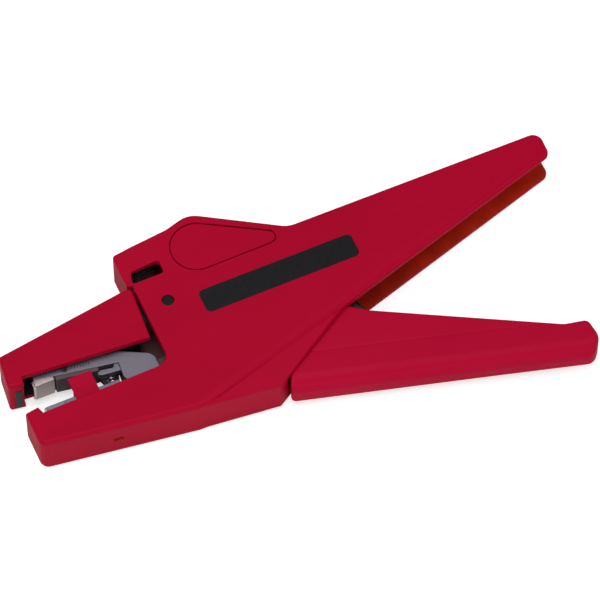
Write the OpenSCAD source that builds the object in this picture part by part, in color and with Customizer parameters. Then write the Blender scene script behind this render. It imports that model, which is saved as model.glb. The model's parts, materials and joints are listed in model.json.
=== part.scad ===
// Self-adjusting wire stripper pliers, lying on their side.
// The wire goes in along +X, the fixed handle is towards +Y, the thickness is along +Z.
// The origin is on the resting face, under the pivot of the upper jaw.

/* [Body] */
// Thickness of the whole tool
tool_t = 16; // [15:0.5:18]
// Wall of the red mouldings
wall = 2.4; // [2.0:0.1:2.8]
// Rounding along the edges of the body
edge_r = 1.4; // [0.8:0.1:1.8]
// Reach of the lower jaw ahead of the jaw pivot
jaw_reach = 56; // [50:1:60]
// Distance of the throat edge ahead of the jaw pivot
throat_x = 8.1; // [8:0.1:9]
// Far end of the fixed handle behind the jaw pivot
handle_reach = 132.4; // [120:1:140]
// Height of the fixed handle's back above the jaw pivot
back_y = 9.6; // [9.2:0.1:10]
// Depth of the lower jaw's top edge below the pivot
jaw_top_y = 20.3; // [20:0.1:21]
// Depth of the lower jaw's floor at its front
jaw_floor_y = 31.6; // [31:0.1:33]
// Slope of the belly of the body, in degrees
belly_slope = 7.6; // [6:0.1:8]
// Gap between the blade arms that takes the wire
wire_gap = 8; // [7.9:0.1:9]

/* [Handles] */
// Distance of the handle pivot behind the jaw pivot
handle_pivot_x = 45; // [44:0.5:46]
// Depth of the handle pivot below the jaw pivot
handle_pivot_y = 5; // [4.5:0.1:5.5]
// Thickness of the moving handle
grip_t = 10.6; // [10:0.1:11]
// Far end of the moving handle behind the jaw pivot
grip_reach = 118.9; // [105:1:125]
// Rounding along the underside of the moving handle
grip_r = 3; // [2:0.1:4]
// Angle that the moving handle swings through, in degrees
squeeze_angle = 35; // [20:1:35]

/* [Mechanism] */
// Height of the blade arms along the thickness
arm_t = 8.4; // [8:0.1:8.8]
// Distance of the arm pivot ahead of the jaw pivot
arm_pivot_x = 16; // [15:0.1:17]
// Depth of the arm pivot below the jaw pivot
arm_pivot_y = 20; // [19.5:0.1:20.5]
// Radius of the drive pin about the handle pivot
drive_r = 24; // [23:0.1:25]
// Thickness of the pull rod
rod_t = 1.8; // [1.4:0.1:2]
// Running clearance on the radius of each pivot
run_gap = 0.05; // [0.03:0.01:0.08]

/* [Cutter] */
// Distance of the cutter pivot behind the jaw pivot
cutter_x = 15.9; // [15:0.1:17]
// Height of the cutter pivot above the jaw pivot
cutter_y = 14.3; // [14:0.1:15]
// Reach of the cutter's blade end from its pivot
cutter_l = 22; // [20:0.1:22.4]
// Width of the cutter window
window_w = 10.8; // [9:0.1:11]
// Height of the cutter window
window_h = 5.2; // [4.6:0.1:5.4]

/* [Label and cap] */
// Length of the label
label_l = 52.3; // [40:0.1:54]
// Width of the label
label_w = 8.4; // [6:0.1:9]
// Radius of the round end of the teardrop cap
cap_r = 8.4; // [7:0.1:8.6]
// Width of the groove round the cap
cap_groove = 0.3; // [0.2:0.05:0.5]

/* [Hidden] */

// Steps on each rounded edge, on each rounded corner and on each round hole
edge_steps = 6;
corner_steps = 8;
hole_fn = 48;
// Overrun of every cut, and the small play between pieces that slide on each other
cut = 1;
play = 0.1;
side_gap = 0.2;
red = "#a8102c";
steel = "#8c8a90";
bright = "#c8c6c8";
dark = "#2a2a2e";

function unit(v) = v / norm(v);
function turned(p, a) = [p.x * cos(a) - p.y * sin(a), p.x * sin(a) + p.y * cos(a)];
function flat(lists) = [for (l = lists) each l];

// Points given as shares of one length along X and one along Y, from a place.
// The radii that follow them are shares of the length along Y.
function placed(shares, at, along_x, along_y) =
  [for (s = shares) [
    at.x + along_x * s[0], at.y + along_y * s[1], each [for (k = [2:1:len(s) - 1]) along_y * s[k]]]];

// Points of one corner: an arc of the corner's radius, or the corner itself.
// Each point keeps the edge rounding that its corner asks for as a third number.
function corner_points(p0, p1, p2) =
  p1[2] == 0 ? [[p1.x, p1.y, p1[3]]] :
  let (
    a = unit([p0.x - p1.x, p0.y - p1.y]),
    b = unit([p2.x - p1.x, p2.y - p1.y]),
    half = acos(a * b) / 2,
    c = [p1.x, p1.y] + unit(a + b) * p1[2] / sin(half),
    s = [p1.x, p1.y] + a * p1[2] / tan(half) - c,
    turn = (a.x * b.y - a.y * b.x > 0 ? -1 : 1) * (180 - 2 * half)
  )
  [for (i = [0:corner_steps])
    let (p = c + turned(s, turn * i / corner_steps)) [p.x, p.y, p1[3]]];

// A closed outline from corners [x, y, corner radius, edge rounding], anticlockwise
function outline(corners) =
  let (n = len(corners))
  flat([for (i = [0:n - 1])
    corner_points(corners[(i + n - 1) % n], corners[i], corners[(i + 1) % n])]);
function flat_outline(corners) =
  [for (p = outline([for (c = corners) [c.x, c.y, c[2], 0]])) [p.x, p.y]];

// How far a point with edge rounding r lies inside the outline at depth z below the face
function drawn_in(r, z) = z >= r ? 0 : r - sqrt(r * r - (r - z) * (r - z));

// The outline moved inwards at depth z below the face
function inset_ring(ring, z) =
  let (n = len(ring))
  [for (i = [0:n - 1])
    let (
      p = [ring[i].x, ring[i].y],
      before = unit(p - [ring[(i + n - 1) % n].x, ring[(i + n - 1) % n].y]),
      after = unit([ring[(i + 1) % n].x, ring[(i + 1) % n].y] - p),
      m = [-before.y - after.y, before.x + after.x],
      d = drawn_in(ring[i][2], z)
    )
    p + d * m / (1 + before * after)];

// A ring of points split into triangles by cutting off one ear after another
function side_of(a, b, p) = (b.x - a.x) * (p.y - a.y) - (b.y - a.y) * (p.x - a.x);
function is_ear(ring, left, k) =
  let (n = len(left), a = left[(k + n - 1) % n], b = left[k], c = left[(k + 1) % n])
  side_of(ring[a], ring[b], ring[c]) > 0 &&
  len([for (j = left) if (j != a && j != b && j != c && side_of(ring[a], ring[b], ring[j]) >= 0 &&
    side_of(ring[b], ring[c], ring[j]) >= 0 && side_of(ring[c], ring[a], ring[j]) >= 0) j]) == 0;
function next_ear(ring, left, k) =
  k >= len(left) - 1 || is_ear(ring, left, k) ? k : next_ear(ring, left, k + 1);
function ears(ring, left, done = []) =
  len(left) < 3 ? done :
  let (n = len(left), k = next_ear(ring, left, 0))
  ears(ring, [for (i = [0:n - 1]) if (i != k) left[i]],
    concat(done, [[left[(k + n - 1) % n], left[k], left[(k + 1) % n]]]));

// A plate between z0 and z1 whose edges are rounded along the outline
module soft_plate(ring, z0, z1) {
  r = max([for (p = ring) p[2]]);
  depths = [for (i = [0:edge_steps]) r * (1 - cos(90 * i / edge_steps))];
  levels = concat(
    [for (d = depths) [z0 + d, d]],
    [for (i = [0:edge_steps]) [z1 - depths[edge_steps - i], depths[edge_steps - i]]]
  );
  n = len(ring);
  rows = len(levels);
  points = flat([for (l = levels) [for (p = inset_ring(ring, l[1])) [p.x, p.y, l[0]]]]);
  sides = flat([for (j = [0:rows - 2]) flat([for (i = [0:n - 1])
    let (a = j * n + i, b = j * n + (i + 1) % n, c = a + n, d = b + n)
    [[a, c, b], [b, c, d]]])]);
  cap = ears(inset_ring(ring, 0), [for (i = [0:n - 1]) i]);
  top = (rows - 1) * n;
  polyhedron(
    points = points,
    faces = concat(cap, [for (t = cap) [top + t[2], top + t[1], top + t[0]]], sides),
    convexity = 6
  );
}

// A plain plate between z0 and z1
module plate(points, z0, z1) {
  translate([0, 0, z0]) linear_extrude(z1 - z0) polygon([for (p = points) [p.x, p.y]]);
}
// A plain plate over a rectangle from a low to a high corner
module slab(low, high, z0, z1) {
  translate([low.x, low.y, z0]) cube([high.x - low.x, high.y - low.y, z1 - z0]);
}
// A round bar or hole along Z at a place
module post(at, r, z0, z1) {
  translate([at.x, at.y, z0]) cylinder(r = r, h = z1 - z0, $fn = hole_fn);
}

// Levels along the thickness
mid_z = tool_t / 2;
in_lo = wall;
in_hi = tool_t - wall;
grip_lo = mid_z - grip_t / 2;
grip_hi = mid_z + grip_t / 2;
grip_wall = 2.1;
cheek_t = 1.6;
cheek_lo = grip_lo + grip_wall;
cheek_hi = grip_hi - grip_wall;
arm_lo = mid_z - arm_t / 2;
arm_hi = mid_z + arm_t / 2;
arm_cheek = 1.5;
fork_t = 1.4;
rod_lo = mid_z - rod_t / 2;
rod_hi = mid_z + rod_t / 2;
fork_lo = rod_lo - side_gap - fork_t;
fork_hi = rod_hi + side_gap + fork_t;

// Places of the pivots
jaw_pivot = [0, 0];
handle_pivot = [handle_pivot_x, -handle_pivot_y];
arm_pivot = [-arm_pivot_x, -arm_pivot_y];
cutter_pivot = [cutter_x, cutter_y];
half_squeeze = squeeze_angle / 2;
drive_at = handle_pivot + turned([0, -drive_r], -half_squeeze);
stroke = 2 * drive_r * sin(half_squeeze);
cam_arm = [-4.5, 11];
roller_share = [0.6875, -0.65];
rivet_shares = [
  [0.5417, -1.1667], [1.0417, -1.4583]
];
cam_at = handle_pivot + cam_arm;
roller_at = placed([roller_share], jaw_pivot, arm_pivot_x, arm_pivot_y)[0];
rivets_at = placed(rivet_shares, handle_pivot, drive_r, drive_r);

// Radii of the pins
jaw_pin_r = 2;
handle_pin_r = 2.5;
cutter_pin_r = 2;
arm_pin_r = 1.5;
drive_pin_r = 1.5;
roller_pin_r = 1;
roller_r = 2;
rivet_r = 1.6;

// Body: the places that give its outline
nose_top_y = 18.7;
nose_l = 4.4;
function belly_y(x) = -jaw_floor_y - (x + jaw_reach) * tan(belly_slope);
heel_x = 20.2;
crotch = [49.3, -24.2];
crease_angle = 15.6;
handle_slope = 16.5;
tip_low_y = crotch.y + (handle_reach - crotch.x) * tan(handle_slope);
// Small fold in the belly
fold_x = 6.2;
fold_l = 2.8;
fold_h = 0.65;
bump_left = -9.8;
bump_top_y = 22.1;
bump_join = [9.6, 24.1];
bump_peak = [18, 26.5];
back_join = [45.3, back_y];
window_x = -7.8;
window_y = 9.7;

// Radii of the body's corners, and of the softer and sharper stretches of its edge
nose_corner = 3;
end_corner = 2.6;
bump_corner = 1.3;
spine_corner = 3.4;
blend_corner = 8;
throat_corner = 4;
crotch_corner = 1.8;
heel_edge = 2.2;
back_edge = 0.9;
seam_edge = 0.9;
thin_edge = 0.5;
// Small drops and steps along the outline
tip_drop = 0.4;
step_h = 0.2;
foot_w = 0.8;
foot_h = 0.7;

body_corners = [
  [-jaw_reach, -nose_top_y, 0, edge_r],
  [-jaw_reach, -jaw_floor_y, nose_corner, edge_r],
  [-fold_x, belly_y(-fold_x) - fold_h, 0, edge_r],
  [fold_l - fold_x, belly_y(fold_l - fold_x) - fold_h / 2, 0, edge_r],
  [heel_x, belly_y(heel_x), 0, heel_edge],
  [crotch.x, crotch.y, crotch_corner, seam_edge],
  [handle_reach, tip_low_y, end_corner, edge_r],
  [handle_reach, back_y - tip_drop, spine_corner, back_edge],
  [back_join.x, back_join.y, blend_corner, back_edge],
  [bump_peak.x, bump_peak.y, blend_corner, back_edge],
  [bump_join.x, bump_join.y, blend_corner, back_edge],
  [bump_left, bump_top_y, bump_corner, back_edge],
  [bump_left, window_y + step_h, 0, seam_edge],
  [-throat_x, window_y - step_h, 0, thin_edge],
  [-throat_x, -jaw_top_y, throat_corner, thin_edge],
  [-jaw_reach + nose_l + foot_w, -jaw_top_y - foot_h, 0, thin_edge],
  [-jaw_reach + nose_l, -nose_top_y, 0, thin_edge]
];

// Height of the inside of the bump's roof, of the ramp behind it and of the belly's floor
roof_slope = (bump_join.y - bump_top_y) / (bump_join.x - bump_left);
function roof_y(x) = bump_top_y + roof_slope * (x - bump_left) - wall * sqrt(1 + roof_slope * roof_slope);
ramp_slope = (back_join.y - bump_peak.y) / (back_join.x - bump_peak.x);
function ramp_y(x) = bump_peak.y + ramp_slope * (x - bump_peak.x) - wall * sqrt(1 + ramp_slope * ramp_slope);
function floor_y(x) = belly_y(x) + wall / cos(belly_slope);
spine_y = back_y - wall;
jaw_back_x = -jaw_reach + nose_l;

// How far the hollow runs on past the joins of the outline, and out past the handle
roof_run = 2;
ramp_start = 3;
ramp_end = 4;
heel_run = 3;
throat_run = 4;
throat_rise = 5;
// Rib behind the top of the throat that closes the view into the head
rib_l = 0.9;
rib_low_y = 5.2;
far_x = handle_reach + tool_t;
far_y = -3 * tool_t;

// Hollow of the body, open at the throat, at the heel and along the handle's underside
hollow_points = [
  [jaw_back_x, floor_y(jaw_back_x)],
  [heel_x + heel_run, floor_y(heel_x + heel_run)],
  [heel_x + heel_run, far_y],
  [far_x, far_y],
  [far_x, spine_y],
  [back_join.x + foot_w, spine_y],
  [back_join.x - ramp_end, ramp_y(back_join.x - ramp_end)],
  [bump_peak.x + ramp_start, ramp_y(bump_peak.x + ramp_start)],
  [bump_join.x + roof_run, roof_y(bump_join.x + roof_run)],
  [window_x, roof_y(window_x)],
  [window_x, window_y + play],
  [rib_l - throat_x, window_y + play],
  [rib_l - throat_x, rib_low_y],
  [-throat_x - throat_run, rib_low_y],
  [-throat_x - throat_run, -jaw_top_y + throat_rise],
  [jaw_back_x, -jaw_top_y + throat_rise]
];

// Slanted cuts on both faces: the facet under the crease, and the lower face of the bump
facet_tilt = 9.5;
facet_over = 2;
facet_l = 64;
facet_w = 22;
facet_h = 6;
module facet_cut() {
  translate([crotch.x, crotch.y, tool_t]) rotate([0, 0, crease_angle]) rotate([facet_tilt, 0, 0])
    translate([facet_over - facet_l, -facet_w, 0]) cube([facet_l, facet_w, facet_h]);
}
bump_tilt = 3.6;
bump_from_x = 7;
bump_step = 0.6;
bump_l = 22;
bump_w = 20;
bump_h = 3;
module bump_cut() {
  translate([bump_from_x, window_y + bump_step, tool_t]) rotate([0, -bump_tilt, 0])
    translate([-bump_l, 0, 0]) cube([bump_l, bump_w, bump_h]);
}
module both_faces() {
  children();
  translate([0, 0, tool_t]) mirror([0, 0, 1]) children();
}

window_corner = 1.2;
window_lean = 0.4;
window_corners = [
  [window_x, window_y, window_corner / 2],
  [window_x + window_w, window_y, window_corner],
  [window_x + window_w, window_y + window_h, window_corner],
  [window_x + window_corner, window_y + window_h - window_lean, window_corner]
];

label_at = [9.6, -9.4];
label_r = 1.7;
label_t = 0.4;
label_depth = 0.25;
label_corners = [
  [label_at.x, label_at.y, label_r], [label_at.x + label_l, label_at.y, label_r],
  [label_at.x + label_l, label_at.y + label_w, label_r], [label_at.x, label_at.y + label_w, label_r]
];

// Teardrop between a large and a small circle, grown by g
cap_tip = [37.9, 8.4];
cap_tip_r = 2.3;
cap_t = 1.1;
cap_steps = 24;
tip_steps = 8;
function teardrop(g) =
  let (
    v = cap_tip - cutter_pivot, a = atan2(v.y, v.x), b = acos((cap_r - cap_tip_r) / norm(v))
  )
  concat(
    [for (i = [0:cap_steps]) let (t = a + b + (360 - 2 * b) * i / cap_steps)
      cutter_pivot + (cap_r + g) * [cos(t), sin(t)]],
    [for (i = [0:tip_steps]) let (t = a - b + 2 * b * i / tip_steps)
      cap_tip + (cap_tip_r + g) * [cos(t), sin(t)]]
  );

// Bosses round the pivots, sunk a little into the walls that carry them
jaw_boss_r = 4.2;
handle_boss_r = 4.5;
jaw_boss_h = 1.2;
handle_boss_h = cheek_lo - in_lo - side_gap;
sunk = 0.4;
pin_socket = 1.2;
cap_floor = tool_t - cap_t - play;

// Grip pad of the lower nose, the steps of the nose above it and the slot in the belly
pad_front = 0.6;
pad_l = 1.9;
pad_side = 3;
pad_floor_y = -24;
tooth_w = 1.7;
tooth_h = 0.25;
slot_x = 33.2;
slot_l = 3.2;
slot_w = 1.6;
slot_h = 5;
pad_low = [-jaw_reach + pad_front, pad_floor_y];
pad_high = [-jaw_reach + pad_front + pad_l, -jaw_top_y - play];

module boss_pair(at, r, h) {
  post(at, r, in_lo - sunk, in_lo + h);
  post(at, r, in_hi - h, in_hi + sunk);
}
module body_shell() color(red) {
  difference() {
    union() {
      difference() {
        soft_plate(outline(body_corners), 0, tool_t);
        plate(hollow_points, in_lo, in_hi);
        both_faces() facet_cut();
        both_faces() bump_cut();
        plate(flat_outline(window_corners), -cut, tool_t + cut);
      }
      boss_pair(jaw_pivot, jaw_boss_r, jaw_boss_h);
      boss_pair(handle_pivot, handle_boss_r, handle_boss_h);
      boss_pair(cutter_pivot, jaw_boss_r, handle_boss_h);
    }
    post(jaw_pivot, jaw_pin_r, pin_socket, tool_t + cut);
    post(handle_pivot, handle_pin_r, pin_socket, tool_t - pin_socket);
    post(cutter_pivot, cutter_pin_r, pin_socket, tool_t - pin_socket - sunk);
    plate(teardrop(cap_groove), cap_floor, tool_t + cut);
    plate(flat_outline(label_corners), tool_t - label_depth, tool_t + cut);
    for (i = [1:2])
      slab([-jaw_reach - cut, -nose_top_y - tooth_h * i], [-jaw_reach + tooth_w * (3 - i), 0],
        -cut, tool_t + cut);
    slab(pad_low, [pad_high.x, 0], pad_side, tool_t - pad_side);
    slab([-slot_x, belly_y(-slot_x) - cut], [slot_l - slot_x, belly_y(-slot_x) + slot_h],
      mid_z - slot_w / 2, mid_z + slot_w / 2);
  }
}
module lower_grip_pad() color(dark) slab(pad_low, pad_high, pad_side, tool_t - pad_side);
module jaw_pin() color(dark) post(jaw_pivot, jaw_pin_r, pin_socket, tool_t - thin_edge);
module handle_pin() color(steel) post(handle_pivot, handle_pin_r, pin_socket, tool_t - pin_socket);
module cutter_pin() color(steel) post(cutter_pivot, cutter_pin_r, pin_socket, tool_t - pin_socket - sunk);
anvil_l = 10;
anvil_t = 6.8;
anvil_y = window_y + window_h + side_gap;
module cutter_anvil() color(steel)
  plate([[window_x, anvil_y], [window_x + anvil_l, anvil_y],
    [window_x + anvil_l, roof_y(window_x + anvil_l)], [window_x, roof_y(window_x)]],
    mid_z - anvil_t / 2, mid_z + anvil_t / 2);
module teardrop_cap() color(red) plate(teardrop(0), cap_floor, tool_t);
module label_plate() color(dark)
  plate(flat_outline(label_corners), tool_t - label_depth, tool_t - label_depth + label_t);

// A round wire along a list of points, as one closed tube
module tube(path, r, sides) {
  n = len(path);
  rings = flat([for (i = [0:n - 1])
    let (
      t = unit(path[min(i + 1, n - 1)] - path[max(i - 1, 0)]),
      up = abs(t.z) > 0.9 ? [1, 0, 0] : [0, 0, 1],
      u = unit(cross(t, up)),
      v = cross(t, u)
    )
    [for (k = [0:sides - 1]) let (a = 360 * k / sides) path[i] + r * (cos(a) * u + sin(a) * v)]]);
  walls = flat([for (i = [0:n - 2]) flat([for (k = [0:sides - 1])
    let (a = i * sides + k, b = i * sides + (k + 1) % sides)
    [[a, b, a + sides], [b, b + sides, a + sides]]])]);
  polyhedron(
    points = rings,
    faces = concat(
      [[for (k = [sides - 1:-1:0]) k]], [[for (k = [0:sides - 1]) (n - 1) * sides + k]], walls),
    convexity = 8
  );
}
// Least gap between the curls of a wire: points at least half a curl apart along it
function least_gap(path, r, apart) =
  min([for (i = [0:len(path) - 1]) for (j = [i + apart:1:len(path) - 1])
    norm(path[i] - path[j])]) - 2 * r;

// Points round one curl and sides round the wire of the springs
curl_rings = 8;
half_curl = 5;
wire_sides = 6;
// Return spring about the handle pin, its legs on the fixed handle's back and on a rivet
return_wire = 0.35;
return_r = 4.3;
return_pitch = 1.15;
return_turns = 1.75;
return_low = 1.1;
return_leg = 21;
leg_past = 1;
return_curls = [for (i = [0:round(return_turns * curl_rings)])
  let (a = 90 + 360 * i / curl_rings)
  [handle_pivot.x + return_r * cos(a), handle_pivot.y + return_r * sin(a),
    mid_z - return_low + return_pitch * i / curl_rings]];
return_points = concat(
  [[handle_pivot.x + return_leg, spine_y - return_wire, mid_z - return_low]],
  return_curls,
  [[rivets_at[0].x + leg_past, rivets_at[0].y + rivet_r + return_wire, mid_z + leg_past]]
);
echo(handle_spring_gap = least_gap(return_curls, return_wire, half_curl));
module handle_spring() color(steel) tube(return_points, return_wire, wire_sides);

// Upper jaw: cover, carrier, pad, roller and pointer
cover_gap = 0.3;
cover_lo = cover_gap;
cover_hi = tool_t - cover_gap;
cover_back_x = -throat_x - thin_edge;
cover_low = [-10.2, -9.7];
cover_top = back_y - play;
cover_roof = 2;
cover_r = 0.9;
cover_corner = 1.6;
cover_wall = 3.4;
// The nose from its top corner down its front and up its back, as shares from the lower jaw's front
nose_shares = [
  [-0.0099, 0.1379, 0.0591, 0.0443], [-0.0739, -0.4236, 0.0493, 0.0591],
  [0.1773, -0.4433, 0, 0.0246], [0.1946, -0.3202, 0, 0.0246]
];
pad_shares = [
  [0.0246, -0.4458], [0.133, -0.4542], [0.1429, -0.2709], [0.0394, -0.2709]
];
upper_pad_lo = 1.5;
upper_pad_hi = 11.5;
nose_corners = placed(nose_shares, [-jaw_reach, 0], jaw_top_y, jaw_top_y);
cover_front = nose_corners[0];
cover_slope = (cover_front.y - cover_top) / (cover_front.x - cover_back_x);
function cover_top_y(x) = cover_top + cover_slope * (x - cover_back_x);
cover_corners = concat(
  [[cover_low.x, cover_low.y, 0, thin_edge], [cover_back_x, cover_top, cover_corner, cover_r]],
  nose_corners
);
cover_in_x = -jaw_reach + cover_wall;
cover_hollow = [
  [cover_in_x, far_y], [0, far_y], [0, cover_top_y(0) - cover_roof],
  [cover_in_x, cover_top_y(cover_in_x) - cover_roof]
];
pad_corners = placed(pad_shares, [-jaw_reach, 0], jaw_top_y, jaw_top_y);
module jaw_cover() color(red)
  difference() {
    soft_plate(outline(cover_corners), cover_lo, cover_hi);
    plate(cover_hollow, in_lo, in_hi);
    plate(pad_corners, upper_pad_lo, upper_pad_hi);
  }
module upper_grip_pad() color(dark) plate(pad_corners, upper_pad_lo, upper_pad_hi);

carrier_front_x = -22;
carrier_low = 2.8;
carrier_lean = 2.2;
// Thin tail of the carrier that stays behind the gap between cover and throat
tail_low = [-12.4, -9];
tail_high = [-6, 0];
tail_t = 0.8;
tail_lo = in_lo + cover_gap;
carrier_neck = 4.4;
hub_lo = in_lo + jaw_boss_h + side_gap;
hub_hi = in_hi - jaw_boss_h - side_gap;
hub_r = 4.6;
foot_t = 7.2;
foot_lo = mid_z - foot_t / 2;
foot_hi = mid_z + foot_t / 2;
// Lever down to the roller, and the slot in it that the roller turns in
foot_shares = [
  [-1.0769, 0.8154], [-0.2308, -0.0615], [-0.0462, -0.2], [0.2, -0.0462], [0.1538, 0.2308],
  [-0.5231, 1.0769]
];
slot_shares = [
  [-0.3538, -0.3846], [0.4615, 0.3692]
];
foot_slot = 1.6;
foot_reach = -roller_at.y;
foot_slot_at = placed(slot_shares, roller_at, foot_reach, foot_reach);
module jaw_carrier() color(steel)
  difference() {
    union() {
      plate([[carrier_front_x, -carrier_low], [cover_back_x - carrier_lean, -carrier_low],
        [cover_back_x, cover_top_y(cover_back_x) - cover_roof],
        [carrier_front_x, cover_top_y(carrier_front_x) - cover_roof]], in_lo, in_hi);
      slab([cover_back_x - carrier_lean - cut, -carrier_low], [0, carrier_neck], hub_lo, hub_hi);
      slab(tail_low, tail_high, tail_lo, tail_lo + tail_t);
      post(jaw_pivot, hub_r, hub_lo, hub_hi);
      plate(placed(foot_shares, roller_at, foot_reach, foot_reach), foot_lo, foot_hi);
    }
    post(jaw_pivot, jaw_pin_r + run_gap, hub_lo - cut, hub_hi + cut);
    post(roller_at, roller_pin_r, foot_lo - cut, foot_hi + cut);
    slab(foot_slot_at[0], foot_slot_at[1], mid_z - foot_slot, mid_z + foot_slot);
  }
module jaw_roller() color(steel)
  difference() {
    post(roller_at, roller_r, mid_z - foot_slot + side_gap, mid_z + foot_slot - side_gap);
    post(roller_at, roller_pin_r + run_gap, mid_z - foot_slot - cut, mid_z + foot_slot + cut);
  }
module roller_pin() color(dark) post(roller_at, roller_pin_r, foot_lo, foot_hi);

// Blade arms: their front end follows the reach of the jaw
front_room = 7.3;
arm_front_x = -jaw_reach + front_room;
wire_y = -13.8;
upper_y = wire_y + wire_gap / 2;
lower_y = wire_y - wire_gap / 2;
block_l = 6;
block_back_x = arm_front_x + block_l;
block_proud = 0.2;
pointer_run = 10.2;
pointer_w = 1.1;
pointer_low = -8.3;
pointer_top = -6.2;
pointer_t = 0.25;
pointer_x = arm_front_x + pointer_run;
module scale_pointer() color(dark)
  plate([[pointer_x, pointer_low], [pointer_x + pointer_w, pointer_top], [pointer_x - pointer_w, pointer_top]],
    in_hi - pointer_t, in_hi);

// Carriage: pull rod and arm pin
wedge_rise = 2.02;
wedge_gap = 0.3;
rod_top = roller_at.y - roller_r - wedge_gap;
slot_play = 0.08;
slot_r = drive_pin_r + slot_play;
slot_low_at = [drive_at.x, handle_pivot.y - drive_r - sunk];
slot_high_at = [drive_at.x, drive_at.y + sunk];
rod_half = 4.2;
rod_corner = 2.4;
rod_step = 1;
rod_eye = 3;
shoulder_x = 6;
shoulder_y = 5.4;
ramp_run = 6;
ramp_fall = 1.6;
land_l = 2;
wedge_lead = 2;
rod_run = drive_at.x - arm_pivot.x;
rod_belly_shares = [
  [0.2975, -0.05, 0], [0.7437, -0.17, 0]
];
rod_corners = concat(
  [[arm_pivot.x - rod_eye, arm_pivot.y - rod_eye, rod_eye]],
  placed(rod_belly_shares, arm_pivot, rod_run, arm_pivot_y),
  [
    [drive_at.x - rod_half, drive_at.y - rod_step, 0],
    [drive_at.x - rod_half, slot_low_at.y - rod_half, rod_corner],
    [drive_at.x + rod_half, slot_low_at.y - rod_half, rod_corner],
    [drive_at.x + rod_half, slot_high_at.y + rod_half, rod_corner],
    [drive_at.x - shoulder_x, slot_high_at.y + shoulder_y, 0],
    [roller_at.x + ramp_run, rod_top - ramp_fall, 0],
    [roller_at.x + land_l, rod_top - play, 0],
    [roller_at.x, rod_top, 0],
    [roller_at.x + wedge_lead - stroke, rod_top + wedge_rise, 0],
    [roller_at.x - land_l - stroke, rod_top + wedge_rise, 0],
    [arm_pivot.x - rod_eye, arm_pivot.y + rod_eye, rod_eye]
  ]
);
module pull_rod() color(steel)
  difference() {
    plate(flat_outline(rod_corners), rod_lo, rod_hi);
    post(arm_pivot, arm_pin_r, rod_lo - cut, rod_hi + cut);
    post(slot_low_at, slot_r, rod_lo - cut, rod_hi + cut);
    post(slot_high_at, slot_r, rod_lo - cut, rod_hi + cut);
    slab([slot_low_at.x - slot_r, slot_low_at.y], [slot_low_at.x + slot_r, slot_high_at.y],
      rod_lo - cut, rod_hi + cut);
  }
module arm_pin() color(steel) post(arm_pivot, arm_pin_r, arm_lo, arm_hi);

// Upper arm: two cheeks about the arm pin, and a bar between them that runs to the front
bar_low = -7.5;
bar_top = -3.6;
bar_back = [-22.1, -12.2];
tip_back = 0.6;
tip_corner = 0.8;
function bar_y(x) = bar_low + (bar_back.y - bar_low) * (x - arm_front_x) / (bar_back.x - arm_front_x);
eye_shares = [
  [-0.325, 0.125, 0], [-0.2, -0.145, 0.13], [0.255, -0.145, 0.225], [0.255, 0.45, 0.25],
  [-0.205, 0.595, 0.2]
];
bar_end_shares = [
  [-0.26, 0.59, 0]
];
bar_front = [
  [arm_front_x + tip_back, bar_top, tip_corner], [arm_front_x, bar_low, 0], [bar_back.x, bar_back.y, 0]
];
cheek_corners = concat(bar_front, placed(eye_shares, arm_pivot, arm_pivot_y, arm_pivot_y));
bar_corners = concat(bar_front, placed(bar_end_shares, arm_pivot, arm_pivot_y, arm_pivot_y));
module upper_arm() color(steel)
  difference() {
    union() {
      plate(flat_outline(cheek_corners), arm_lo, arm_lo + arm_cheek);
      plate(flat_outline(cheek_corners), arm_hi - arm_cheek, arm_hi);
      plate(flat_outline(bar_corners), arm_lo, arm_hi);
    }
    post(arm_pivot, arm_pin_r + run_gap, arm_lo - cut, arm_hi + cut);
  }
blade_t = 0.7;
blade_x = arm_front_x - block_proud;
blade_side = 0.6;
edge_out = 0.4;
module upper_blade_block() color(bright)
  plate([[blade_x, upper_y], [block_back_x, upper_y], [block_back_x, bar_y(block_back_x)],
    [arm_front_x, bar_low], [blade_x, bar_low]], arm_lo, arm_hi + play);
module upper_blade() color(bright)
  plate([[blade_x - blade_t, bar_low], [blade_x - blade_t, upper_y], [blade_x, upper_y - edge_out],
    [blade_x, bar_low]], arm_lo + blade_side, arm_hi - blade_side);
insert_share = 0.55;
insert_back_x = arm_front_x + insert_share * (arm_pivot.x - arm_front_x);
insert_gap = 0.5;
insert_front_x = block_back_x + insert_gap;
insert_drop = 0.8;
insert_y = bar_y(insert_back_x) - insert_drop;
module arm_insert() color(dark)
  plate([[insert_front_x, upper_y + side_gap], [insert_back_x, insert_y],
    [insert_back_x, bar_y(insert_back_x)], [insert_front_x, bar_y(insert_front_x)]],
    arm_lo + side_gap, arm_hi - side_gap);
// Latch bar from the insert to the arm's eye, as shares of that run
latch_l = bar_back.x - insert_back_x;
latch_lo = mid_z + foot_slot;
latch_shares = [
  [0.8259, -0.0532], [0.7562, -0.1767], [0.2919, -0.0954], [0.1526, -0.1535], [0.1526, -0.2463],
  [0.2687, -0.316], [0.9768, -0.3972]
];
module latch_bar() color(steel)
  plate(concat(placed(latch_shares, [insert_back_x, insert_y], latch_l, latch_l),
    [[bar_back.x, bar_back.y]]), latch_lo, arm_hi - sunk);

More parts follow.
